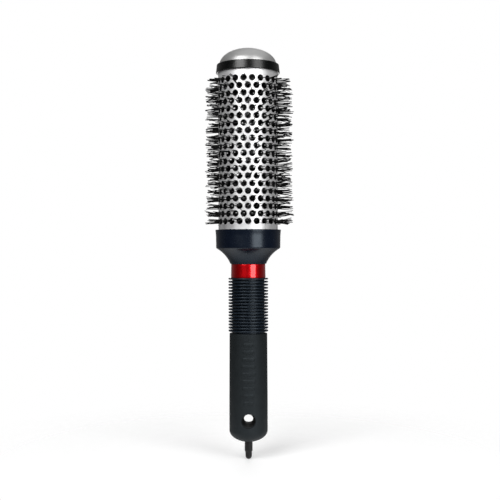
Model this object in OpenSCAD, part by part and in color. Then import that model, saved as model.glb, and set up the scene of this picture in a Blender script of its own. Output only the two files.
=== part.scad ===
// Round barrel brush, standing on its tail: +Z runs up the axis from the tail tip at the origin,
// and the hanging hole runs front to back along Y. Millimetres.

/* [Tail] */
// Radius of the tail where it leaves the handle
tail_r = 2.55; // [2.5:0.05:3]
// Radius of the tail's rounded end
tail_end_r = 2.1; // [1.5:0.05:2.4]
// Length of the tail that shows under the handle
tail_len = 11.1; // [8:0.1:16]
// Length of the thinner rounded end
tail_end_len = 4.7; // [3:0.1:7]
// Length of the tail's shank inside the handle core
tail_shank_len = 7.9; // [5:0.1:9]

/* [Handle] */
// Radius of the soft sleeve at its widest
handle_r = 12.3; // [12.2:0.1:14]
// Radius of the soft sleeve at its upper end
handle_top_r = 12.1; // [11:0.1:12.2]
// Length of the soft sleeve
handle_len = 69.8; // [62:0.1:100]
// Height of the sleeve's rounded lower end
handle_end_h = 7.5; // [5:0.5:10]
// Radius of the hard core under the sleeve
core_r = 9.6; // [8.8:0.1:10.4]
// Radius of the core's spigot through the ribbed grip, the band and the collar
spigot_r = 8; // [6:0.1:9]

/* [Hanging hole] */
// Radius of the hole's round throat
hole_r = 3; // [2:0.1:4]
// Length of the throat
hole_throat = 5; // [3:0.5:8]
// Radius of the hole where it meets the sleeve's surface
hole_mouth_r = 4.55; // [4.2:0.05:5.5]
// Height of the hole's centre above the sleeve's lower end
hole_rise = 14.9; // [14.5:0.1:20]

/* [Thumb pads] */
// Number of low bars moulded on the front of the sleeve
pad_count = 9; // [3:1:10]
// Width of the longest bar
pad_w = 9; // [6:0.5:12]
// Height of one bar
pad_h = 1.8; // [1:0.1:3]
// Distance from one bar to the next
pad_pitch = 4.6; // [3.5:0.1:5]
// Height that a bar stands proud of the sleeve
pad_proud = 0.3; // [0.2:0.05:0.6]

/* [Ribbed grip] */
// Number of round fins
fin_count = 18; // [8:1:18]
// Distance from one fin to the next
fin_pitch = 1.955; // [1.6:0.005:2]
// Thickness of a fin
fin_t = 1.15; // [0.6:0.05:1.2]
// Outer radius of the fins
fin_r = 12.75; // [11.5:0.05:14]
// Radius at the bottom of the grooves
groove_r = 10.4; // [9.5:0.1:10.8]
// Height of the ribbed grip
grip_h = 35.5; // [35.2:0.1:40]

/* [Band] */
// Outer radius of the coloured band at its lower edge
band_r = 11.15; // [10.5:0.05:11.3]
// Height of the band
band_h = 8.9; // [6:0.1:14]

/* [Collar] */
// Outer radius of the collar's rim
rim_r = 21.1; // [20.9:0.05:22]
// Outer radius of the collar at its shoulder, where the flare begins
shoulder_r = 20.4; // [20:0.1:20.5]
// Radius of the collar's neck
neck_r = 11.5; // [11:0.1:12]
// Height of the collar
collar_h = 21.9; // [20:0.1:26]
// Height of the shoulder above the collar's lower edge
shoulder_rise = 9.8; // [9:0.1:11]
// Radius of the hollow curve of the flare
flare_r = 19.8; // [19:0.1:22]

/* [Barrel] */
// Outer radius of the barrel
barrel_r = 19.05; // [18.8:0.05:19.3]
// Thickness of the barrel's wall
barrel_wall = 0.8; // [0.6:0.05:1]
// Length of the barrel that shows between the collar and the end ring
barrel_show = 100.2; // [99.6:0.1:120]
// Number of rows of perforations
row_count = 20; // [6:1:20]
// Perforations in one row
holes_per_row = 22; // [12:2:22]
// Diameter of a perforation
perforation_d = 3.9; // [2:0.1:4]
// Distance from one row to the next
row_pitch = 4.71; // [4.4:0.01:4.72]

/* [Bristles] */
// Radius at the bristle tips
bristle_r = 28.3; // [24:0.1:32]
// Radius of a tuft at its tip
tuft_tip_r = 0.75; // [0.3:0.05:1]
// Radius of a tuft where it leaves the stem
tuft_root_r = 0.25; // [0.15:0.01:0.3]

/* [Stem] */
// Radius of one wire of the twisted stem
wire_r = 1.05; // [0.8:0.05:1.1]
// Height of one turn of the twist
wire_pitch = 15; // [12:1:24]

/* [End ring and dome] */
// Outer radius of the end ring at its lower edge
ring_r = 20.55; // [20.2:0.05:21]
// Outer radius of the end ring at its upper edge
ring_top_r = 19.95; // [19.6:0.05:20.2]
// Height of the end ring
ring_h = 5.6; // [5.5:0.1:9]
// Radius of the dome where it meets the ring
dome_r = 18.3; // [17.6:0.1:18.8]
// Height of the dome above the ring
dome_h = 10.5; // [6:0.1:14]

/* [Hidden] */
$fn = 96;
gap = 0.05;            // clearance between a part and the one it is pressed into
eps = 0.5;             // how far a cutting tool runs past what it cuts
arc_steps = 12;
wire_sides = 8;
wire_slices_per_turn = 10;

core_inset = 1.5;      // how much lower the core's rounded end is than the sleeve's
belly_h = 20;          // the sleeve is widest from its rounded end up to here
flare_drop = 7.5;      // how far below the collar's neck the centre of the flare's curve lies
socket_depth = 8.7;    // depth of the collar's socket, where the barrel stands
spigot_rise = 9;       // how far the spigot and the base plug reach up inside the barrel
ring_lip = 2.2;        // height of the ring's lip over the barrel's end
first_row_rise = 5.1;  // height of the lowest row of perforations above the collar
stem_in_core = 49;     // length of the stem held in the spigot
stem_fit = 0.15;       // clearance round the twisted stem
stem_inset = 0.5;      // how far the stem ends below the plug's face
tuft_fit = 0.25;       // gap between the stem and the roots of the tufts
plug_h = 6;            // height of the plug in the barrel's upper end
skirt_inset = 1.75;    // distance from the barrel's bore in to the dome's snap-in skirt
skirt_wall = 1.4;
skirt_h = 5.5;

handle_z = tail_len;
handle_top_z = handle_z + handle_len;
grip_top_z = handle_top_z + grip_h;
band_top_z = grip_top_z + band_h;
collar_top_z = band_top_z + collar_h;
ring_z = collar_top_z + barrel_show;
ring_top_z = ring_z + ring_h;

hole_z = handle_z + hole_rise;
end_z = handle_z + handle_end_h;     // where the sleeve's rounded end meets its straight side
core_end_h = handle_end_h - core_inset;
belly_z = end_z + belly_h;
shank_top_z = handle_z + tail_shank_len;

shoulder_z = band_top_z + shoulder_rise;
socket_z = collar_top_z - socket_depth;
barrel_in_r = barrel_r - barrel_wall;
barrel_top_z = ring_top_z - ring_lip;
first_row_z = collar_top_z + first_row_rise;
row_turn = 180 / holes_per_row;      // each row is turned by half a pitch from the next
front = -90;                         // the direction that the hanging hole's front mouth faces

spigot_top_z = socket_z + spigot_rise;
wire_offset = wire_r + gap;
stem_r = wire_offset + wire_r;
stem_bore_r = stem_r + stem_fit;
stem_z = spigot_top_z - stem_in_core;
stem_top_z = barrel_top_z - stem_inset;
stem_turns = (stem_top_z - stem_z) / wire_pitch;
tuft_root_at = stem_r + tuft_fit;

plug_z = barrel_top_z - plug_h;
skirt_r = barrel_in_r - skirt_inset;

ROWS = [for (i = [1:row_count]) str("bristle_row_", i < 10 ? "0" : "", i)];

BLACK = "#1b1b1d";
CHARCOAL = "#26282a";
NAVY = "#222830";
RED = "#c00008";
CERAMIC = "#dcdcdf";
STEEL = "#a4a6a8";
GREY = "#9c9da0";
NYLON = "#121214";

// Points along part of an ellipse round [cx, cy]
function arc(cx, cy, rx, ry, from, to, steps = arc_steps) =
    [for (i = [0:steps])
        let (a = from + (to - from) * i / steps)
        [cx + rx * cos(a), cy + ry * sin(a)]];

// A solid turned from an outline of [radius, height] points
module turned(outline) {
    rotate_extrude() polygon(outline);
}

// The hanging hole as a cutting tool: a round throat that opens towards both faces
module hanging_hole() {
    half = hole_throat / 2;
    flare = (hole_mouth_r - hole_r) / (handle_r - half);
    reach = handle_r + 2;
    end_r = hole_r + flare * (reach - half);
    translate([0, 0, hole_z])
        rotate([90, 0, 0])
            turned([
                [0, -reach], [end_r, -reach], [hole_r, -half],
                [hole_r, half], [end_r, reach], [0, reach]
            ]);
}

// The tail: a short rounded pick whose shank is pressed into the handle core
module tail_tip() {
    step = tail_r - tail_end_r;
    color(BLACK)
        turned(concat(
            arc(0, tail_end_r, tail_end_r, tail_end_r, -90, 0),
            [[tail_end_r, tail_end_len], [tail_r, tail_end_len + step],
             [tail_r, shank_top_z], [0, shank_top_z]]
        ));
}

// The hard core: the body under the sleeve, and the spigot that carries the grip, band and collar
module handle_core() {
    socket_r = tail_r + gap;
    color(BLACK)
        difference() {
            turned(concat(
                [[0, shank_top_z + gap], [socket_r, shank_top_z + gap]],
                arc(0, end_z, core_r, core_end_h, -acos(socket_r / core_r), 0),
                [[core_r, handle_top_z], [spigot_r, handle_top_z], [spigot_r, spigot_top_z],
                 [stem_bore_r, spigot_top_z], [stem_bore_r, stem_z - gap], [0, stem_z - gap]]
            ));
            hanging_hole();
        }
}

// One low bar with round ends, laid on the front of the sleeve at height z
module thumb_pad(z, width) {
    run = (width - pad_h) / 2;
    translate([0, 0, z])
        rotate([90, 0, 0])
            linear_extrude(handle_r + 1)
                union() {
                    square([2 * run, pad_h], center = true);
                    for (side = [-1, 1])
                        translate([side * run, 0]) circle(d = pad_h);
                }
}

// The soft sleeve over the core, with a column of plain thumb pads up its front
module handle_sleeve() {
    lip = 0.5;
    pad_taper = 3;                   // how much narrower the end bars are than the middle one
    pad_root = 1;                    // the bars start this far outside the core
    pads_mid_z = (hole_z + hole_mouth_r + handle_top_z) / 2;
    color(CHARCOAL)
        difference() {
            union() {
                turned(concat(
                    arc(0, end_z, handle_r, handle_end_h, -acos((tail_r + gap) / handle_r), 0),
                    [[handle_r, belly_z], [handle_top_r, handle_top_z - lip],
                     [handle_top_r - lip, handle_top_z], [core_r + gap, handle_top_z]],
                    arc(0, end_z, core_r + gap, core_end_h + gap, 0, -acos((tail_r + gap) / (core_r + gap)))
                ));
                intersection() {
                    for (i = [0:pad_count - 1])
                        thumb_pad(
                            pads_mid_z + (i - (pad_count - 1) / 2) * pad_pitch,
                            pad_w - pad_taper * abs(2 * i / (pad_count - 1) - 1)
                        );
                    translate([0, 0, handle_z])
                        difference() {
                            cylinder(r = handle_r + pad_proud, h = handle_len);
                            translate([0, 0, -eps])
                                cylinder(r = core_r + pad_root, h = handle_len + 2 * eps);
                        }
                }
            }
            hanging_hole();
        }
}

// Outline of one fin, rounded at its rim
function fin(z) = concat(
    [[groove_r, z - fin_t / 2]],
    arc(fin_r - fin_t / 2, z, fin_t / 2, fin_t / 2, -90, 90, 4),
    [[groove_r, z + fin_t / 2]]
);

// The ribbed grip: a rubber tube with a stack of thin fins
module ribbed_grip() {
    above = fin_t / 2 + 0.01;        // from the middle of the last fin to the grip's top
    first = grip_top_z - above - (fin_count - 1) * fin_pitch;
    color(NAVY)
        turned(concat(
            [[spigot_r + gap, handle_top_z], [groove_r, handle_top_z]],
            [for (i = [0:fin_count - 1]) for (p = fin(first + i * fin_pitch)) p],
            [[groove_r, grip_top_z], [spigot_r + gap, grip_top_z]]
        ));
}

// The coloured band between the grip and the collar
module red_band() {
    edge = 0.3;
    taper = 0.15;
    top_r = band_r - taper;
    color(RED)
        turned([
            [spigot_r + gap, grip_top_z], [band_r - edge, grip_top_z], [band_r, grip_top_z + edge],
            [top_r, band_top_z - edge], [top_r - edge, band_top_z], [spigot_r + gap, band_top_z]
        ]);
}

// The collar: a flared neck under a cup that holds the barrel's lower end
module collar() {
    edge = 0.2;
    step = [0.2, 0.7];               // the small slope between the flare and the cup
    lip = [0.35, 3.4];               // how far the cup's mouth flares, and over what height
    turn_out = [neck_r + sqrt(pow(flare_r, 2) - pow(flare_drop, 2)), band_top_z - flare_drop];
    color(NAVY)
        turned(concat(
            [[spigot_r + gap, band_top_z]],
            arc(turn_out[0], turn_out[1], flare_r, flare_r,
                180 - asin(flare_drop / flare_r), acos((shoulder_r - turn_out[0]) / flare_r)),
            [[shoulder_r + step[0], shoulder_z + step[1]], [rim_r - lip[0], collar_top_z - lip[1]],
             [rim_r, collar_top_z - edge], [rim_r - edge, collar_top_z],
             [barrel_r + gap, collar_top_z], [barrel_r + gap, socket_z], [spigot_r + gap, socket_z]]
        ));
}

// The plug that centres the barrel's lower end on the spigot
module base_plug() {
    floor_t = 2.5;
    wall = 2;
    hub_wall = 3;
    hub_r = spigot_r + hub_wall;
    out_r = barrel_in_r - gap;
    in_r = spigot_r + gap;
    color(BLACK)
        turned([
            [in_r, socket_z], [out_r, socket_z], [out_r, spigot_top_z], [out_r - wall, spigot_top_z],
            [out_r - wall, socket_z + floor_t], [hub_r, socket_z + floor_t], [hub_r, spigot_top_z],
            [in_r, spigot_top_z]
        ]);
}

// Angle of perforation k in row i, where row 1 is the lowest
function hole_angle(i, k) = front + k * 360 / holes_per_row + (i % 2 == 0 ? row_turn : 0);
function row_z(i) = first_row_z + (i - 1) * row_pitch;

// The perforated barrel
module barrel_tube() {
    cut = 2 * eps + barrel_wall;
    color(CERAMIC)
        difference() {
            translate([0, 0, socket_z])
                difference() {
                    cylinder(r = barrel_r, h = barrel_top_z - socket_z);
                    translate([0, 0, -eps])
                        cylinder(r = barrel_in_r, h = barrel_top_z - socket_z + 2 * eps);
                }
            for (i = [1:row_count], k = [0:holes_per_row - 1])
                rotate([0, 0, hole_angle(i, k)])
                    translate([barrel_in_r - eps, 0, row_z(i)])
                        rotate([0, 90, 0]) cylinder(d = perforation_d, h = cut);
        }
}

// One wire of the twisted stem that holds the bristles
module stem_wire(start) {
    color(STEEL)
        translate([0, 0, stem_z])
            linear_extrude(
                stem_top_z - stem_z,
                twist = -360 * stem_turns,
                slices = ceil(stem_turns * wire_slices_per_turn),
                $fn = wire_sides
            )
                rotate(start) translate([wire_offset, 0]) circle(r = wire_r);
}

module stem_wire_a() {
    stem_wire(0);
}

module stem_wire_b() {
    stem_wire(180);
}

// The plug in the barrel's upper end: a hub for the stem and a groove for the dome's skirt
module end_plug() {
    hub_r = 6;
    floor_t = 1.5;
    groove_out_r = skirt_r + gap;
    out_r = barrel_in_r - gap;
    color(BLACK)
        turned([
            [stem_bore_r, plug_z], [out_r, plug_z], [out_r, barrel_top_z], [groove_out_r, barrel_top_z],
            [groove_out_r, plug_z + floor_t], [hub_r, plug_z + floor_t], [hub_r, barrel_top_z],
            [stem_bore_r, barrel_top_z]
        ]);
}

// The glossy ring round the barrel's upper end: it narrows a little towards the dome
module end_ring() {
    edge = 0.3;
    in_r = barrel_r + gap;
    lip_r = skirt_r + gap;
    color(BLACK)
        turned([
            [in_r, ring_z], [ring_r - edge, ring_z], [ring_r, ring_z + edge],
            [ring_top_r, ring_top_z - edge], [ring_top_r - edge, ring_top_z],
            [lip_r, ring_top_z], [lip_r, barrel_top_z], [in_r, barrel_top_z]
        ]);
}

// The domed end cap, with a skirt that snaps into the end plug
module dome_cap() {
    shell = 1.6;
    in_r = skirt_r - skirt_wall;
    hollow_r = dome_r - shell;
    color(GREY)
        turned(concat(
            [[skirt_r, ring_top_z - skirt_h], [skirt_r, ring_top_z]],
            arc(0, ring_top_z, dome_r, dome_h, 0, 90, 20),
            arc(0, ring_top_z, hollow_r, dome_h - shell, 90, acos(in_r / hollow_r), 20),
            [[in_r, ring_top_z - skirt_h]]
        ));
}

// One row of bristle tufts: a slim solid for each perforation, from the stem out through the barrel
module bristle_row(i) {
    color(NYLON)
        for (k = [0:holes_per_row - 1])
            rotate([0, 0, hole_angle(i, k)])
                translate([tuft_root_at, 0, row_z(i)])
                    rotate([0, 90, 0])
                        cylinder(r1 = tuft_root_r, r2 = tuft_tip_r, h = bristle_r - tuft_root_at);
}

tail_tip();
handle_core();
handle_sleeve();
ribbed_grip();
red_band();
collar();
base_plug();
barrel_tube();
stem_wire_a();
stem_wire_b();
end_plug();
end_ring();
dome_cap();
for (i = [1:row_count])
    bristle_row(i);
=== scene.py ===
import math
import random

import bmesh
import bpy
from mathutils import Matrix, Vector


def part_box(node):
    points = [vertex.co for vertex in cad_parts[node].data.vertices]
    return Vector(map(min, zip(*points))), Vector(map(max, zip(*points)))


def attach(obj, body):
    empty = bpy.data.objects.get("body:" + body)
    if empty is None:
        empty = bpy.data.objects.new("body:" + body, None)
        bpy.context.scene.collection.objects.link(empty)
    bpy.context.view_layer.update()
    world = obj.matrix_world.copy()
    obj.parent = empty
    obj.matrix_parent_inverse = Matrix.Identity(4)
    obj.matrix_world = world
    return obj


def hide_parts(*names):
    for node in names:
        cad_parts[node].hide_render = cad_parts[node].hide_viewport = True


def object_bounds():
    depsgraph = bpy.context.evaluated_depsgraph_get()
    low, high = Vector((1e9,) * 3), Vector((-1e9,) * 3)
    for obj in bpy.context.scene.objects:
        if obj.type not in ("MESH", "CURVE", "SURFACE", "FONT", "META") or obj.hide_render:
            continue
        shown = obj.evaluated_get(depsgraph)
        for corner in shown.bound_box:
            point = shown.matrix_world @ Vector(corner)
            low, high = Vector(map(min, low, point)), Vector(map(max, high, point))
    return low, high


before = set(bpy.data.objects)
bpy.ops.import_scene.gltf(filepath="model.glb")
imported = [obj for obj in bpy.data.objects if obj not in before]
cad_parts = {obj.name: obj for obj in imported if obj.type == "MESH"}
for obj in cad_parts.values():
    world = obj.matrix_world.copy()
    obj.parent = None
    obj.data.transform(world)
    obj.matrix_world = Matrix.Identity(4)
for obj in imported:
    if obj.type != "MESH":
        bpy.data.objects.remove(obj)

# Looks of the round barrel brush, in metres. +Z runs up the brush's axis and its front faces -Y.
# Places and sizes come from the CAD nodes' boxes. MM turns the fine details that have no node into metres.
MM = 0.001
CAD_LOW, CAD_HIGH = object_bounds()
HEIGHT = CAD_HIGH.z - CAD_LOW.z
BODY = "root"
FRONT = -math.pi / 2
ROWS = sorted(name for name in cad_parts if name.startswith("bristle_row_"))
HOLES_PER_ROW = 22
PERFORATION_R = 2.0 * MM
SPIGOT_R = 8 * MM
BLUISH_SHEEN = (0.78, 0.90, 1.0, 1.0)
# The gap between pieces that fit together, and the step from the end plug's side in to the dome's skirt.
FIT = 0.05 * MM
SKIRT_INSET = 1.7 * MM
# The hanging hole: from the sleeve's foot up to its axis, and its radius outside and inside the sleeve.
HOLE_RISE = 14.9 * MM
HOLE_MOUTH_R = 4.5 * MM
HOLE_NECK_R = 4.1 * MM


def bottom(node):
    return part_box(node)[0].z


def top(node):
    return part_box(node)[1].z


def middle(node):
    return (bottom(node) + top(node)) / 2


def radius(node):
    """The largest radius of a node that is round about the brush's axis."""
    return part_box(node)[1].x


# ---------------------------------------------------------------- materials


def set_range(map_range, low, high, to_low, to_high):
    """Sets a Map Range node to turn low..high into to_low..to_high."""
    for socket, number in (("From Min", low), ("From Max", high), ("To Min", to_low), ("To Max", to_high)):
        map_range.inputs[socket].default_value = number


class Paint:
    """A Principled material, with short ways to add procedural nodes to it."""

    def __init__(self, name, colour, roughness, **sockets):
        self.material = bpy.data.materials.new(name)
        self.material.use_nodes = True
        self.tree = self.material.node_tree
        self.shader = self.tree.nodes["Principled BSDF"]
        self.place = self.node("ShaderNodeTexCoord").outputs["Object"]
        self.normal = None
        self.colour = (*colour, 1.0)
        self.shader.inputs["Base Color"].default_value = self.colour
        self.shader.inputs["Roughness"].default_value = roughness
        for socket, value in sockets.items():
            self.shader.inputs[socket.replace("_", " ")].default_value = value

    def node(self, kind, **settings):
        made = self.tree.nodes.new(kind)
        for key, value in settings.items():
            setattr(made, key, value)
        return made

    def link(self, source, target):
        self.tree.links.new(source, target)

    def noise(self, size, detail, stretch=(1, 1, 1)):
        """Noise whose blobs are about size metres across, longer along an axis where stretch is over 1."""
        mapping = self.node("ShaderNodeMapping")
        mapping.inputs["Scale"].default_value = [1 / s for s in stretch]
        self.link(self.place, mapping.inputs["Vector"])
        made = self.node("ShaderNodeTexNoise")
        made.inputs["Scale"].default_value = 1 / size
        made.inputs["Detail"].default_value = detail
        self.link(mapping.outputs["Vector"], made.inputs["Vector"])
        return made.outputs["Fac"]

    def ramp(self, value, low, high, to_low, to_high):
        """Turns low..high of a value into to_low..to_high."""
        made = self.node("ShaderNodeMapRange")
        set_range(made, low, high, to_low, to_high)
        self.link(value, made.inputs["Value"])
        return made.outputs["Result"]

    def tint(self, factor, colour):
        """Mixes colour over what the base colour already is."""
        mix = self.node("ShaderNodeMix", data_type="RGBA")
        base = self.shader.inputs["Base Color"]
        if base.is_linked:
            self.link(base.links[0].from_socket, mix.inputs["A"])
        else:
            mix.inputs["A"].default_value = self.colour
        mix.inputs["B"].default_value = (*colour, 1.0)
        self.link(factor, mix.inputs["Factor"])
        self.link(mix.outputs["Result"], base)

    def rough(self, factor, low, high):
        """Lets the roughness wander between low and high."""
        self.link(self.ramp(factor, 0.3, 0.7, low, high), self.shader.inputs["Roughness"])

    def bump(self, height, strength, depth):
        """Adds relief, on top of any that is there already."""
        made = self.node("ShaderNodeBump")
        made.inputs["Strength"].default_value = strength
        made.inputs["Distance"].default_value = depth
        self.link(height, made.inputs["Height"])
        if self.normal is not None:
            self.link(self.normal, made.inputs["Normal"])
        self.normal = made.outputs["Normal"]
        self.link(self.normal, self.shader.inputs["Normal"])

    def worn(self, colour, most):
        """Lightens convex edges, where hands wear the finish."""
        geometry = self.node("ShaderNodeNewGeometry")
        self.tint(self.ramp(geometry.outputs["Pointiness"], 0.52, 0.6, 0, most), colour)


def soft_touch():
    """Charcoal soft-touch rubber: very fine grain, faint mottling, edges rubbed lighter."""
    paint = Paint("soft_touch_rubber", (0.0066, 0.0083, 0.0088), 0.6, Specular_IOR_Level=0.33)
    paint.shader.inputs["Specular Tint"].default_value = BLUISH_SHEEN
    paint.tint(paint.ramp(paint.noise(6 * MM, 4), 0.4, 0.7, 0, 0.5), (0.0094, 0.0115, 0.0122))
    paint.worn((0.034, 0.038, 0.040), 0.35)
    paint.rough(paint.noise(4 * MM, 5), 0.54, 0.68)
    paint.bump(paint.noise(0.12 * MM, 2), 0.25, 0.02 * MM)
    paint.bump(paint.noise(2.5 * MM, 3), 0.15, 0.05 * MM)
    return paint.material


def fin_rubber():
    """Navy-black rubber of the fins, smoother than the sleeve."""
    paint = Paint("fin_rubber", (0.0048, 0.0088, 0.0150), 0.36, Specular_IOR_Level=0.4)
    paint.shader.inputs["Specular Tint"].default_value = BLUISH_SHEEN
    paint.tint(paint.ramp(paint.noise(3 * MM, 4), 0.45, 0.75, 0, 0.4), (0.007, 0.0115, 0.019))
    paint.worn((0.030, 0.036, 0.044), 0.4)
    paint.rough(paint.noise(2 * MM, 4), 0.34, 0.42)
    paint.bump(paint.noise(0.2 * MM, 2), 0.08, 0.01 * MM)
    return paint.material


def navy_plastic():
    """Moulded navy-black plastic of the collar: semi-gloss, with faint orange peel and uneven gloss."""
    paint = Paint("navy_plastic", (0.004, 0.007, 0.015), 0.25, Specular_IOR_Level=0.46)
    paint.shader.inputs["Specular Tint"].default_value = BLUISH_SHEEN
    paint.tint(paint.ramp(paint.noise(9 * MM, 3), 0.4, 0.7, 0, 0.4), (0.007, 0.010, 0.018))
    paint.worn((0.05, 0.055, 0.065), 0.3)
    paint.rough(paint.noise(3 * MM, 6), 0.22, 0.29)
    paint.bump(paint.noise(1.2 * MM, 2), 0.04, 0.02 * MM)
    return paint.material


def red_gloss():
    """Deep gloss red under a clear coat, with the slightest waviness in its reflections."""
    paint = Paint("red_gloss", (0.66, 0.0, 0.004), 0.36, Metallic=0.85, Coat_Weight=1.0, Coat_Roughness=0.03)
    paint.tint(paint.ramp(paint.noise(5 * MM, 3), 0.4, 0.7, 0, 0.5), (0.52, 0.0, 0.004))
    paint.rough(paint.noise(2 * MM, 5), 0.33, 0.39)
    paint.bump(paint.noise(3 * MM, 2), 0.06, 0.04 * MM)
    return paint.material


def gloss_black():
    """Polished black plastic of the end ring."""
    paint = Paint("gloss_black", (0.0015, 0.002, 0.002), 0.27, Specular_IOR_Level=0.55)
    paint.worn((0.03, 0.03, 0.033), 0.3)
    paint.rough(paint.noise(2 * MM, 5), 0.24, 0.3)
    paint.bump(paint.noise(2.5 * MM, 2), 0.06, 0.03 * MM)
    return paint.material


def satin_grey():
    """Satin silver-grey of the dome: a fine metallic speckle in a smooth lacquer."""
    paint = Paint("satin_grey", (0.55, 0.55, 0.545), 0.42, Metallic=0.7, Coat_Weight=0.1, Coat_Roughness=0.3)
    paint.tint(paint.ramp(paint.noise(0.35 * MM, 2), 0.35, 0.75, 0, 0.35), (0.62, 0.62, 0.62))
    paint.tint(paint.ramp(paint.noise(7 * MM, 3), 0.4, 0.7, 0, 0.3), (0.44, 0.44, 0.435))
    paint.rough(paint.noise(3 * MM, 5), 0.38, 0.46)
    paint.bump(paint.noise(0.3 * MM, 2), 0.08, 0.01 * MM)
    return paint.material


def ceramic_coat():
    """Bright ceramic coating on aluminium, with faint drawing lines round the tube and tiny specks."""
    paint = Paint("ceramic_coat", (0.93, 0.93, 0.935), 0.46, Metallic=0.65, Specular_IOR_Level=0.6)
    paint.tint(paint.ramp(paint.noise(8 * MM, 4), 0.45, 0.75, 0, 0.4), (0.80, 0.80, 0.815))
    paint.tint(paint.ramp(paint.noise(0.5 * MM, 2), 0.62, 0.72, 0, 0.25), (0.62, 0.62, 0.63))
    paint.rough(paint.noise(4 * MM, 5), 0.44, 0.52)
    paint.bump(paint.noise(0.4 * MM, 2, stretch=(14, 14, 1)), 0.05, 0.01 * MM)
    return paint.material


def inner_wall_painted_shade():
    """The uncoated inside of the barrel, its colour painted near black as the shade inside the tube."""
    # Painted shade: the base colour and its darker patches are near black, where bare aluminium would be
    # bright.
    paint = Paint("inner_wall_painted_shade", (0.035, 0.035, 0.037), 0.5, Metallic=0.6)
    paint.tint(paint.ramp(paint.noise(3 * MM, 5), 0.4, 0.7, 0, 0.7), (0.02, 0.02, 0.02))
    paint.rough(paint.noise(2 * MM, 4), 0.45, 0.65)
    paint.bump(paint.noise(0.5 * MM, 2, stretch=(1, 1, 10)), 0.2, 0.02 * MM)
    return paint.material


def black_nylon():
    """Black nylon filaments with a drawn sheen, some a little paler than others."""
    paint = Paint("black_nylon", (0.0006, 0.0006, 0.0007), 0.42, Specular_IOR_Level=0.18)
    paint.tint(paint.ramp(paint.noise(1.5 * MM, 3), 0.5, 0.75, 0, 0.8), (0.004, 0.004, 0.0045))
    paint.rough(paint.noise(1 * MM, 3), 0.36, 0.5)
    paint.bump(paint.noise(0.1 * MM, 2), 0.1, 0.005 * MM)
    return paint.material


def moulded_black(name, roughness):
    """Satin moulded black plastic."""
    paint = Paint(name, (0.003, 0.003, 0.0032), roughness, Specular_IOR_Level=0.3)
    paint.tint(paint.ramp(paint.noise(2.5 * MM, 4), 0.4, 0.7, 0, 0.5), (0.006, 0.006, 0.0063))
    paint.worn((0.06, 0.06, 0.06), 0.3)
    paint.rough(paint.noise(1.5 * MM, 4), roughness - 0.06, roughness + 0.08)
    paint.bump(paint.noise(0.18 * MM, 2), 0.15, 0.012 * MM)
    return paint.material


def drawn_steel():
    """Drawn steel wire with lines along it."""
    paint = Paint("drawn_steel", (0.42, 0.42, 0.43), 0.32, Metallic=1.0)
    paint.tint(paint.ramp(paint.noise(1.5 * MM, 4), 0.5, 0.8, 0, 0.6), (0.28, 0.27, 0.26))
    paint.rough(paint.noise(1 * MM, 4), 0.26, 0.42)
    paint.bump(paint.noise(0.15 * MM, 2, stretch=(1, 1, 10)), 0.2, 0.01 * MM)
    return paint.material


# ---------------------------------------------------------------- mesh building


class Skin:
    """Points and faces of one piece, gathered ring by ring. The faces whose numbers are in second get the
    piece's second material."""

    def __init__(self):
        self.points, self.faces, self.second = [], [], set()

    def add(self, points):
        """Adds points and says where in the list they are."""
        first = len(self.points)
        self.points.extend(points)
        return list(range(first, len(self.points)))

    def circle(self, r, z, columns):
        """A ring round the brush's axis, which starts at the front."""
        around = [FRONT + 2 * math.pi * c / columns for c in range(columns)]
        return self.add([(r * math.cos(a), r * math.sin(a), z) for a in around])

    def join(self, lower, upper, second=False):
        """Quads between two closed rings of the same length, in the second material if asked."""
        n = len(lower)
        if second:
            self.second.update(range(len(self.faces), len(self.faces) + n))
        self.faces.extend((lower[i], lower[(i + 1) % n], upper[(i + 1) % n], upper[i]) for i in range(n))

    def cap(self, ring, point):
        """Triangles from a ring to one point."""
        centre = self.add([point])[0]
        n = len(ring)
        self.faces.extend((ring[i], ring[(i + 1) % n], centre) for i in range(n))

    def make(self, name, node, materials, crease=40):
        """The Blender object: smooth but for edges sharper than crease degrees, riding with the CAD body."""
        mesh = bpy.data.meshes.new(name)
        mesh.from_pydata(self.points, [], self.faces)
        for material in materials:
            mesh.materials.append(material)
        for face in self.second:
            mesh.polygons[face].material_index = 1
        shape = bmesh.new()
        shape.from_mesh(mesh)
        bmesh.ops.delete(shape, geom=[v for v in shape.verts if not v.link_faces], context="VERTS")
        bmesh.ops.recalc_face_normals(shape, faces=shape.faces)
        shape.to_mesh(mesh)
        shape.free()
        mesh.shade_smooth()
        mesh.set_sharp_from_angle(angle=math.radians(crease))
        piece = bpy.data.objects.new(name, mesh)
        bpy.context.scene.collection.objects.link(piece)
        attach(piece, BODY)
        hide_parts(node)
        return piece


def arc(centre_r, centre_z, across, up, start, end, steps):
    """Points (radius, height) along part of an ellipse; angles in degrees."""
    turns = [math.radians(start + (end - start) * i / steps) for i in range(steps + 1)]
    return [(centre_r + across * math.cos(a), centre_z + up * math.sin(a)) for a in turns]


def rounded(corners, steps=5):
    """A closed outline from points (radius, height), where those with a third number are filleted by it."""
    outline = []
    for i, (r, z, *fillet) in enumerate(corners):
        if not fillet:
            outline.append((r, z))
            continue
        here = Vector((r, z))
        back = Vector(corners[i - 1][:2]) - here
        on = Vector(corners[(i + 1) % len(corners)][:2]) - here
        half = back.angle(on) / 2
        reach = min(fillet[0] / math.tan(half), 0.48 * back.length, 0.48 * on.length)
        size = reach * math.tan(half)
        centre = here + (back.normalized() + on.normalized()).normalized() * size / math.sin(half)
        spoke = here + back.normalized() * reach - centre
        turn = spoke.angle_signed(here + on.normalized() * reach - centre)
        start = math.atan2(spoke.y, spoke.x)
        for k in range(steps + 1):
            a = start - turn * k / steps
            outline.append((centre.x + size * math.cos(a), centre.y + size * math.sin(a)))
    return outline


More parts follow.
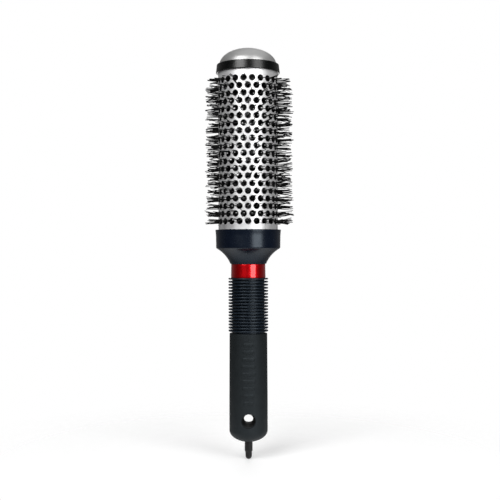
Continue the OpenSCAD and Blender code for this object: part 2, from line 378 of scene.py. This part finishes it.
def spread(outline, most):
    """The closed outline with points added, so that no stretch of it is longer than most."""
    points = []
    for here, following in zip(outline, outline[1:] + outline[:1]):
        parts = math.ceil(math.dist(here, following) / most)
        points += [tuple(Vector(here).lerp(Vector(following), k / parts)) for k in range(parts)]
    return points


def turned(name, node, material, outline, columns=160, crease=40, most=1 * MM):
    """A solid of revolution from a closed outline, with no face longer than most."""
    skin = Skin()
    rings = [(0, z) if r < 1e-6 else skin.circle(r, z, columns) for r, z in spread(outline, most)]
    for lower, upper in zip(rings, rings[1:] + rings[:1]):
        on_axis = isinstance(lower, tuple), isinstance(upper, tuple)
        if on_axis == (False, False):
            skin.join(lower, upper)
        elif on_axis == (False, True):
            skin.cap(lower, (0, 0, upper[1]))
        elif on_axis == (True, False):
            skin.cap(upper, (0, 0, lower[1]))
    return skin.make(name, node, [material], crease)


class Bore:
    """A round hole through a curved wall, seen along its own axis: side is to the right and +Z is up."""

    def __init__(self, skin, angle, height):
        self.skin, self.height = skin, height
        self.out = Vector((math.cos(angle), math.sin(angle), 0))
        self.side = Vector((-math.sin(angle), math.cos(angle), 0))

    def on_wall(self, x, z, wall_r, depth=0.0):
        """The point x to the side at height z on a wall of radius wall_r, sunk by depth."""
        return self.out * (math.sqrt(wall_r**2 - x * x) - depth) + self.side * x + Vector((0, 0, z))

    def ring(self, count, rho, wall_r, depth=0.0):
        """A circle of radius rho round the hole's axis, laid on the wall and sunk by depth."""
        around = [2 * math.pi * i / count for i in range(count)]
        return self.skin.add([
            self.on_wall(rho * math.cos(a), self.height + rho * math.sin(a), wall_r, depth) for a in around
        ])

    def between(self, border, rho, share, wall_r):
        """A ring part of the way from a border of points to the circle of radius rho."""
        points = []
        for i, index in enumerate(border):
            a = 2 * math.pi * i / len(border)
            p = Vector(self.skin.points[index])
            x = p.dot(self.side) * (1 - share) + rho * math.cos(a) * share
            z = p.z * (1 - share) + (self.height + rho * math.sin(a)) * share
            points.append(self.on_wall(x, z, wall_r))
        return self.skin.add(points)

    def join(self, rings, second_from=None):
        """Joins each ring to the next, from ring number second_from on in the second material."""
        for i, (a, b) in enumerate(zip(rings, rings[1:])):
            self.skin.join(a, b, second_from is not None and i >= second_from)


def block_border(point, column, line, half):
    """Points of a grid round a square block, counter-clockwise from the middle of its right side."""
    path = [(half, j) for j in range(half)]
    path += [(i, half) for i in range(half, -half, -1)]
    path += [(-half, j) for j in range(half, -half, -1)]
    path += [(i, -half) for i in range(-half, half)]
    path += [(half, j) for j in range(-half, 0)]
    return [point(column + i, line + j) for i, j in path]


# ---------------------------------------------------------------- pieces, from the top down


def make_dome(material):
    """The end cap: an elliptical dome with a snap-in skirt."""
    seat, apex, foot, wide = top("end_ring"), top("dome_cap"), bottom("dome_cap"), radius("dome_cap")
    shell, skirt_wall = 1.6 * MM, 1.4 * MM
    skirt_r = radius("end_plug") - SKIRT_INSET
    in_r, hollow_r = skirt_r - skirt_wall, wide - shell
    meet = math.degrees(math.acos(in_r / hollow_r))
    outline = [(skirt_r, foot), (skirt_r, seat)]
    outline += arc(0, seat, wide, apex - seat, 0, 90, 48)[:-1] + [(0, apex), (0, apex - shell)]
    outline += arc(0, seat, hollow_r, apex - seat - shell, 90, meet, 20)[1:]
    outline += [(in_r, foot)]
    return turned("dome_shell", "dome_cap", material, outline, 192)


def make_end_ring(material):
    """The glossy ring: a slightly tapered side with eased edges, and a lip under the dome."""
    low, high, wide = bottom("end_ring"), top("end_ring"), radius("end_ring")
    in_r, taper = radius("barrel_tube") + FIT, 0.6 * MM
    lip_r, lip_z = radius("end_plug") - SKIRT_INSET + FIT, top("barrel_tube")
    outline = rounded([
        (in_r, low, 0.12 * MM), (wide, low, 0.4 * MM), (wide - taper, high, 0.3 * MM),
        (lip_r, high), (lip_r, lip_z), (in_r, lip_z),
    ])
    return turned("end_ring_shell", "end_ring", material, outline, 192, most=0.5 * MM)


def make_barrel(outside, inside):
    """The perforated tube: a brickwork of cells, each with a round hole whose lips are slightly rounded."""
    low, high = bottom("barrel_tube"), top("barrel_tube")
    outer, inner = radius("barrel_tube"), radius("end_plug") + FIT
    first_z, last_z = middle(ROWS[0]), middle(ROWS[-1])
    pitch = (last_z - first_z) / (len(ROWS) - 1)
    per_cell = 6
    half = per_cell // 2
    lip, half_way = 0.08 * MM, 0.55
    rim_r = PERFORATION_R + 2.2 * lip
    columns, last_line = HOLES_PER_ROW * per_cell, len(ROWS) * per_cell
    heights = [first_z + (j / per_cell - 0.5) * pitch for j in range(last_line + 1)]
    skin = Skin()
    grids = {wall_r: [skin.circle(wall_r, z, columns) for z in heights] for wall_r in (outer, inner)}
    for row in range(len(ROWS)):
        for k in range(HOLES_PER_ROW):
            column = k * per_cell + half * (row % 2)
            line = row * per_cell + half
            hole = Bore(skin, FRONT + 2 * math.pi * column / columns, first_z + row * pitch)
            outside_border, inside_border = (
                block_border(lambda c, j: grids[wall_r][j][c % columns], column, line, half)
                for wall_r in (outer, inner)
            )
            count = len(outside_border)
            hole.join([
                outside_border,
                hole.between(outside_border, rim_r, half_way, outer),
                hole.ring(count, rim_r, outer),
                hole.ring(count, PERFORATION_R + lip, outer),
                hole.ring(count, PERFORATION_R + 0.3 * lip, outer, 0.3 * lip),
                hole.ring(count, PERFORATION_R, outer, lip),
                hole.ring(count, PERFORATION_R, inner),
                inside_border,
            ], 5)
    feet, heads = {}, {}
    for wall_r, rings in grids.items():
        feet[wall_r], heads[wall_r] = skin.circle(wall_r, low, columns), skin.circle(wall_r, high, columns)
        skin.join(feet[wall_r], rings[0], wall_r == inner)
        skin.join(rings[-1], heads[wall_r], wall_r == inner)
    skin.join(feet[inner], feet[outer])
    skin.join(heads[outer], heads[inner])
    return skin.make("barrel_shell", "barrel_tube", [outside, inside], 50)


def make_bristles(row, node, material):
    """One row of tufts. Some filaments of a tuft cling together; all lean and bend a little. The top row is
    shorter, and the tufts on the right are a little longer and fuller."""
    dice = random.Random(100 + row)
    stem_r, wall_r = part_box("stem_wire_a")[1].x, radius("barrel_tube")
    root_r, tip_r, z = stem_r + 0.2 * MM, radius(node), middle(node)
    show, longer_on_right, shorter_at_top = 9 * MM, 0.7 * MM, 1.5 * MM
    if row == len(ROWS) - 1:
        tip_r -= shorter_at_top
    filament_r, sides, steps = 0.26 * MM, 6, 7
    skin = Skin()
    for k in range(HOLES_PER_ROW):
        a = FRONT + 2 * math.pi * (k + 0.5 * (row % 2)) / HOLES_PER_ROW
        out, side = Vector((math.cos(a), math.sin(a), 0)), Vector((-math.sin(a), math.cos(a), 0))
        lean = Vector((dice.gauss(0, 0.03), dice.gauss(0, 0.025)))
        swing = dice.uniform(0, 2 * math.pi)
        clumps = dice.choice(((2, 1), (1, 1, 1), (3, 1), (2, 1, 1), (4,), (2, 2)))
        on_right, every_other = out.x > 0.3, k % 2 == 0
        if on_right and every_other:
            clumps += (1,)
        for c, clump in enumerate(clumps):
            t = swing + 2 * math.pi * c / len(clumps)
            through = Vector((math.cos(t), math.sin(t))) * PERFORATION_R * dice.uniform(0.3, 0.75)
            root = Vector((dice.uniform(-0.5, 0.5), dice.uniform(-0.9, 0.9))) * MM
            slope = (through - root) / (wall_r - stem_r) * dice.uniform(0.0, 0.6) + lean
            bend = Vector((dice.gauss(0, 0.6), dice.gauss(0, 0.8))) * MM / show**2
            short = dice.uniform(-4, -0.8) if dice.random() < 0.15 else dice.uniform(-1.2, 0.4)
            for f in range(clump):
                turn = 2 * math.pi * (f + dice.random() * 0.5) / clump
                apart = Vector((math.cos(turn), math.sin(turn))) * filament_r * (1.1 if clump > 1 else 0)
                flare = 1 + dice.uniform(-0.6, 1.4)
                reach = tip_r + longer_on_right * out.x + (short + dice.uniform(-0.7, 0.2)) * MM
                line = []
                for s in range(steps + 1):
                    r = root_r + (reach - root_r) * s / steps
                    beyond = max(0, r - wall_r)
                    off = root.lerp(through, min(1, (r - stem_r) / (wall_r - stem_r)))
                    off = off + apart * (1 + (flare - 1) * beyond / show)
                    off = off + slope * beyond + bend * beyond**2
                    line.append(out * r + side * off.x + Vector((0, 0, z + off.y)))
                add_filament(skin, line, filament_r, sides)
    return skin.make("nylon_row_%02d" % (row + 1), node, [material], 60)


def add_filament(skin, line, r, sides):
    """A closed tube along a line of points, a little thinner towards its pointed tip."""
    thinning, point = 0.2, 0.6
    rings = []
    for i, p in enumerate(line):
        along = (line[min(i + 1, len(line) - 1)] - line[max(i - 1, 0)]).normalized()
        across = along.orthogonal().normalized()
        other = along.cross(across)
        size = r * (1 - thinning * i / (len(line) - 1))
        turns = [2 * math.pi * k / sides for k in range(sides)]
        rings.append(skin.add([p + across * size * math.cos(t) + other * size * math.sin(t) for t in turns]))
    for lower, upper in zip(rings, rings[1:]):
        skin.join(lower, upper)
    skin.cap(rings[0], line[0])
    skin.cap(rings[-1], line[-1] + (line[-1] - line[-2]).normalized() * r * point)


def make_stem_wire(name, node, start, material):
    """One round wire of the twisted stem, with flat ends."""
    low, high = bottom(node), top(node)
    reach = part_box(node)[1].x
    wire_r = (reach - FIT) / 2
    offset = reach - wire_r
    pitch, steps_per_turn, sides = 15 * MM, 24, 14
    steps = round((high - low) / pitch * steps_per_turn)
    skin = Skin()
    line = []
    for i in range(steps + 1):
        a = start + 2 * math.pi * (high - low) * i / steps / pitch
        line.append(Vector((offset * math.cos(a), offset * math.sin(a), low + (high - low) * i / steps)))
    rings = []
    for i, p in enumerate(line):
        along = (line[min(i + 1, steps)] - line[max(i - 1, 0)]).normalized()
        outward = Vector((p.x, p.y, 0)).normalized()
        other = along.cross(outward).normalized()
        turns = [2 * math.pi * k / sides for k in range(sides)]
        at_end = i in (0, steps)
        rings.append(skin.add([
            Vector((q.x, q.y, p.z if at_end else q.z))
            for q in (p + outward * wire_r * math.cos(t) + other * wire_r * math.sin(t) for t in turns)
        ]))
    for lower, upper in zip(rings, rings[1:]):
        skin.join(lower, upper)
    skin.cap(rings[0], line[0])
    skin.cap(rings[-1], line[-1])
    return skin.make(name, node, [material], 50)


def make_collar(material):
    """The collar: a flared neck under a cup for the barrel's foot, whose mouth widens a little."""
    low, high, wide = bottom("collar"), top("collar"), radius("collar")
    socket_r, socket_z = radius("barrel_tube") + FIT, bottom("barrel_tube")
    neck_r, shoulder_r, shoulder_rise = 11.5 * MM, 20.6 * MM, 10.2 * MM
    mouth_h, mouth_flare, mouth_fillet = 3.2 * MM, 0.35 * MM, 20 * MM
    flare_r, drop = 19.8 * MM, 7.5 * MM
    centre_r = neck_r + math.sqrt(flare_r**2 - drop**2)
    start = 180 - math.degrees(math.asin(drop / flare_r))
    end = math.degrees(math.acos((shoulder_r - centre_r) / flare_r))
    flare = arc(centre_r, low - drop, flare_r, flare_r, start, end, 36)
    outline = [(SPIGOT_R + FIT, low), (*flare[0], 0.3 * MM), *flare[1:-2]]
    outline += [(shoulder_r, low + shoulder_rise, 0.7 * MM)]
    outline += [(wide - mouth_flare, high - mouth_h, mouth_fillet), (wide, high, 0.18 * MM)]
    outline += [(socket_r, high, 0.2 * MM), (socket_r, socket_z), (SPIGOT_R + FIT, socket_z)]
    return turned("collar_shell", "collar", material, rounded(outline), 192)


def make_band(material):
    """The red band, very slightly tapered, with eased edges."""
    low, high, wide = bottom("red_band"), top("red_band"), radius("red_band")
    edge, taper = 0.35 * MM, 0.15 * MM
    outline = rounded([
        (SPIGOT_R + FIT, low), (wide, low, edge), (wide - taper, high, edge), (SPIGOT_R + FIT, high),
    ])
    return turned("band_shell", "red_band", material, outline)


def make_grip(material):
    """The ribbed grip: round-edged fins with filleted roots."""
    low, high, wide = bottom("ribbed_grip"), top("ribbed_grip"), radius("ribbed_grip")
    fins, pitch, thick, groove_r = 18, 1.955 * MM, 1.15 * MM, 10.4 * MM
    root_fillet, rim_fillet, rim_taper, clear = 0.22 * MM, 0.34 * MM, 0.08 * MM, 0.01 * MM
    top_z = high - thick / 2 - clear
    corners = [(SPIGOT_R + FIT, low), (groove_r, low)]
    for i in range(fins):
        z = top_z - (fins - 1 - i) * pitch
        for way in (-1, 1):
            root = (groove_r, z + way * thick / 2, root_fillet)
            rim = (wide, z + way * (thick / 2 - rim_taper), rim_fillet)
            corners += [root, rim] if way < 0 else [rim, root]
    corners += [(groove_r, high), (SPIGOT_R + FIT, high)]
    outline = rounded(corners, 4)
    return turned("fin_sleeve", "ribbed_grip", material, outline, 144, 50, most=3 * MM)


def pad_height(x, z, pads):
    """How far the sleeve stands out at x, z: 1 on a thumb pad's flat top, falling softly to 0 round it."""
    half_h, soft = 0.9 * MM, 0.5 * MM
    most = 0.0
    for pad_z, half_w in pads:
        if abs(z - pad_z) > 2 * half_h:
            continue
        away = math.hypot(max(0.0, abs(x) - half_w + half_h), z - pad_z) - half_h
        share = min(1.0, max(0.0, 0.5 - away / soft))
        most = max(most, share * share * (3 - 2 * share))
    return most


def thumb_pads(hole_z, high):
    """The height and half width of each thumb pad; the middle one is the widest."""
    count, pitch, widest, taper = 9, 4.6 * MM, 4.5 * MM, 1.5 * MM
    middle_z, middle_i = (hole_z + HOLE_MOUTH_R + high) / 2, (count - 1) / 2
    return [
        (middle_z + (i - middle_i) * pitch, widest - taper * abs(i / middle_i - 1))
        for i in range(count)
    ]


def sleeve_sides(low, high, wide, inner, block):
    """Outlines (radius, height) of the sleeve's outside, going up, and of its inside, going down. Both pass
    through the heights in block, and the last two results say where in each outline those start."""
    end_h, end_wall, lip, fine = 7.5 * MM, 1.45 * MM, 0.5 * MM, 0.3 * MM
    end_z = low + end_h
    belly_z, lip_z = end_z + 20 * MM, high - lip
    top_r, tail_r = wide - 0.2 * MM, radius("tail_tip") + FIT
    outside = arc(0, end_z, wide, end_h, -math.degrees(math.acos(tail_r / wide)), 0, 28)
    outside += [(wide, end_z + (block[0] - end_z) * share) for share in (0.25, 0.5, 0.75)]
    first_out = len(outside)
    outside += [(wide, z) for z in block]
    count = round((lip_z - block[-1]) / fine)
    for j in range(1, count + 1):
        z = block[-1] + (lip_z - block[-1]) * j / count
        outside.append((wide + (top_r - wide) * max(0.0, (z - belly_z) / (lip_z - belly_z)), z))
    outside += arc(top_r - lip, lip_z, lip, lip, 0, 90, 6)[1:]
    inside = [(inner, high)]
    first_in = len(inside)
    inside += [(inner, z) for z in reversed(block)]
    inside += arc(0, end_z, inner, end_h - end_wall, 0, -math.degrees(math.acos(tail_r / inner)), 14)
    return outside, inside, first_out, first_in


def roll_mouth(hole, out_border, in_border, wide, inner):
    """One mouth of the hanging hole: from the outside over a rolled lip and along the bore to the inside."""
    roll, depth, count = 0.55 * MM, wide - inner, len(out_border)
    path = [out_border]
    path += [hole.between(out_border, HOLE_MOUTH_R + roll, share, wide) for share in (0.3, 0.6, 0.85)]
    for turn in range(0, 91, 18):
        t = math.radians(turn)
        rho, sunk = HOLE_MOUTH_R + roll * (1 - math.sin(t)), roll * (1 - math.cos(t))
        path.append(hole.ring(count, rho, wide, sunk))
    for share in (0.33, 0.66):
        rho = HOLE_MOUTH_R + (HOLE_NECK_R - HOLE_MOUTH_R) * share
        path.append(hole.ring(count, rho, wide, roll + (depth - roll) * share))
    path += [hole.ring(count, HOLE_NECK_R, inner), in_border]
    hole.join(path)


def make_sleeve(material):
    """The soft sleeve: rounded lower end, hanging hole with rolled lips, and a column of thumb pads."""
    low, high, wide = bottom("handle_sleeve"), top("handle_sleeve"), radius("handle_sleeve")
    inner, proud = radius("handle_core") + FIT, -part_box("handle_sleeve")[0].y - wide
    hole_z = low + HOLE_RISE
    pads = thumb_pads(hole_z, high)
    columns, half, fine = 216, 18, 0.33 * MM
    block = [hole_z + j * fine for j in range(-half, half + 1)]
    outside, inside, first_out, first_in = sleeve_sides(low, high, wide, inner, block)
    first_in += len(outside)

    skin = Skin()
    rings = []
    for j, (r, z) in enumerate(outside + inside):
        padded = first_out + len(block) <= j < len(outside)
        points = []
        for c in range(columns):
            a = FRONT + 2 * math.pi * c / columns
            out = r
            faces_front = math.sin(a) < -0.5
            if padded and faces_front:
                out += proud * pad_height(r * math.cos(a), z, pads)
            points.append((out * math.cos(a), out * math.sin(a), z))
        rings.append(skin.add(points))

    def in_block(column, line):
        from_hole = min(abs(column + 0.5 - c) for c in (0, columns / 2, columns))
        return from_hole < half and any(first <= line < first + 2 * half for first in (first_out, first_in))

    for j in range(len(rings)):
        lower, upper = rings[j], rings[(j + 1) % len(rings)]
        for c in range(columns):
            if not in_block(c, j):
                n = (c + 1) % columns
                skin.faces.append((lower[c], lower[n], upper[n], upper[c]))

    for column in (0, columns // 2):
        out_mid, in_mid = first_out + half, first_in + half
        out_border = block_border(lambda c, j: rings[j][c % columns], column, out_mid, half)
        in_border = block_border(lambda c, j: rings[2 * in_mid - j][c % columns], column, in_mid, half)
        hole = Bore(skin, FRONT + 2 * math.pi * column / columns, hole_z)
        roll_mouth(hole, out_border, in_border, wide, inner)
    return skin.make("sleeve_shell", "handle_sleeve", [material], 45)


def make_tail(material):
    """The tail: a short stepped pick with a rounded end."""
    high, wide = top("tail_tip"), radius("tail_tip")
    thin, step_z = 2.1 * MM, 4.7 * MM
    soft = 0.3 * MM
    outline = [(0, 0)] + arc(0, thin, thin, thin, -90, 0, 14)[1:]
    outline += [(thin, step_z, soft), (wide, step_z + wide - thin, soft), (wide, high, soft), (0, high)]
    return turned("tail_pick", "tail_tip", material, rounded(outline), 64)


def make_pieces():
    """Every piece with its material. The ones that hardly show keep their CAD meshes, in black plastic."""
    make_dome(satin_grey())
    make_end_ring(gloss_black())
    # The barrel's inside material carries painted shade: a near-black colour for the hollow of the tube.
    make_barrel(ceramic_coat(), inner_wall_painted_shade())
    nylon, steel = black_nylon(), drawn_steel()
    for row, node in enumerate(ROWS):
        make_bristles(row, node, nylon)
    make_stem_wire("stem_strand_a", "stem_wire_a", 0, steel)
    make_stem_wire("stem_strand_b", "stem_wire_b", math.pi, steel)
    make_collar(navy_plastic())
    make_band(red_gloss())
    make_grip(fin_rubber())
    make_sleeve(soft_touch())
    make_tail(moulded_black("tail_plastic", 0.38))
    hidden_plastic = moulded_black("inner_plastic", 0.7)
    for node in ("handle_core", "base_plug", "end_plug"):
        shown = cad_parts[node]
        shown.data.materials.clear()
        shown.data.materials.append(hidden_plastic)


# ---------------------------------------------------------------- studio


def make_camera():
    """A long lens in front of the brush, level but for a slight roll, a little above the brush's middle."""
    camera = bpy.data.objects.new("camera", bpy.data.cameras.new("camera"))
    bpy.context.scene.collection.objects.link(camera)
    camera.data.sensor_width = 36
    camera.data.lens = 66.42
    camera.data.clip_end = 10
    to_right, away, up, roll = 1.14 * MM, 2.2505 * HEIGHT, 0.5093 * HEIGHT, math.radians(0.12)
    camera.location = (to_right, -away, up)
    camera.rotation_euler = (math.pi / 2, roll, 0)
    bpy.context.scene.camera = camera


def softbox(name, at, size, radiance, aim_z):
    """An even rectangular light of a width and height, facing the brush's axis at aim_z. It stands at an
    azimuth, an elevation and a distance. Azimuth 0 is in front and 90 on the right."""
    azimuth, elevation, distance = at
    width, height = size
    light = bpy.data.lights.new(name, "AREA")
    light.shape = "RECTANGLE"
    light.size, light.size_y = width, height
    light.energy = radiance * math.pi * width * height
    lamp = bpy.data.objects.new(name, light)
    bpy.context.scene.collection.objects.link(lamp)
    a, e = math.radians(azimuth), math.radians(elevation)
    reach = Vector((math.cos(e) * math.sin(a), -math.cos(e) * math.cos(a), math.sin(e))) * distance
    lamp.location = Vector((0, 0, aim_z)) + reach
    lamp.rotation_euler = (-reach).to_track_quat("-Z", "Y").to_euler()
    lamp.visible_camera = False


def make_lights():
    """A low key on the right, a tall key on the left, a fill on the right, a wide top and a back light."""
    softbox("key_right", at=(32, 6, 0.9), size=(0.54, 0.50), radiance=4.4, aim_z=0.15)
    softbox("key_left", at=(-29, 28, 0.95), size=(0.54, 0.78), radiance=5.5, aim_z=0.25)
    softbox("fill_right", at=(38, 30, 0.95), size=(0.50, 0.55), radiance=3.0, aim_z=0.25)
    softbox("top_wide", at=(135, 76, 1.0), size=(1.2, 1.2), radiance=0.42, aim_z=0.25)
    softbox("key_back", at=(180, 12, 0.95), size=(0.35, 0.70), radiance=2.0, aim_z=0.15)


def make_world():
    """White to the camera. As light and in reflections it is dim in front and brighter behind."""
    world = bpy.data.worlds.new("studio")
    world.use_nodes = True
    nodes, links = world.node_tree.nodes, world.node_tree.links
    nodes.clear()
    place, split = nodes.new("ShaderNodeTexCoord"), nodes.new("ShaderNodeSeparateXYZ")
    links.new(place.outputs["Generated"], split.inputs["Vector"])
    fade = nodes.new("ShaderNodeMapRange")
    set_range(fade, -0.2, 0.8, 0.012, 0.18)
    links.new(split.outputs["Y"], fade.inputs["Value"])
    room, seen = nodes.new("ShaderNodeBackground"), nodes.new("ShaderNodeBackground")
    links.new(fade.outputs["Result"], room.inputs["Strength"])
    mix, path = nodes.new("ShaderNodeMixShader"), nodes.new("ShaderNodeLightPath")
    links.new(path.outputs["Is Camera Ray"], mix.inputs["Fac"])
    for source, socket in ((room, 1), (seen, 2)):
        source.inputs["Color"].default_value = (1, 1, 1, 1)
        links.new(source.outputs["Background"], mix.inputs[socket])
    out = nodes.new("ShaderNodeOutputWorld")
    links.new(mix.outputs["Shader"], out.inputs["Surface"])
    bpy.context.scene.world = world


def make_floor():
    """A pale round floor under the tail's tip that fades into the white room."""
    size = 1.2 * HEIGHT
    mesh = bpy.data.meshes.new("floor")
    steps = 96
    turns = [2 * math.pi * k / steps for k in range(steps)]
    under = -0.2 * MM
    rim = [(size * math.cos(t), size * math.sin(t), under) for t in turns]
    mesh.from_pydata(rim, [], [tuple(range(steps))])
    floor = bpy.data.objects.new("floor", mesh)
    bpy.context.scene.collection.objects.link(floor)
    material = bpy.data.materials.new("pale_floor")
    material.use_nodes = True
    nodes, links = material.node_tree.nodes, material.node_tree.links
    shader = nodes["Principled BSDF"]
    shader.inputs["Base Color"].default_value = (0.93, 0.93, 0.93, 1)
    shader.inputs["Roughness"].default_value = 0.8
    shader.inputs["Emission Color"].default_value = (1, 1, 1, 1)
    shader.inputs["Emission Strength"].default_value = 0.32
    place, far = nodes.new("ShaderNodeTexCoord"), nodes.new("ShaderNodeVectorMath")
    far.operation = "LENGTH"
    links.new(place.outputs["Object"], far.inputs[0])
    fade = nodes.new("ShaderNodeMapRange")
    fade.interpolation_type = "SMOOTHSTEP"
    set_range(fade, 0.05 * size, 0.75 * size, 1, 0)
    links.new(far.outputs["Value"], fade.inputs["Value"])
    links.new(fade.outputs["Result"], shader.inputs["Alpha"])
    mesh.materials.append(material)


make_camera()
make_world()
make_lights()
make_floor()
make_pieces()
bpy.context.scene.view_settings.view_transform = "Standard"
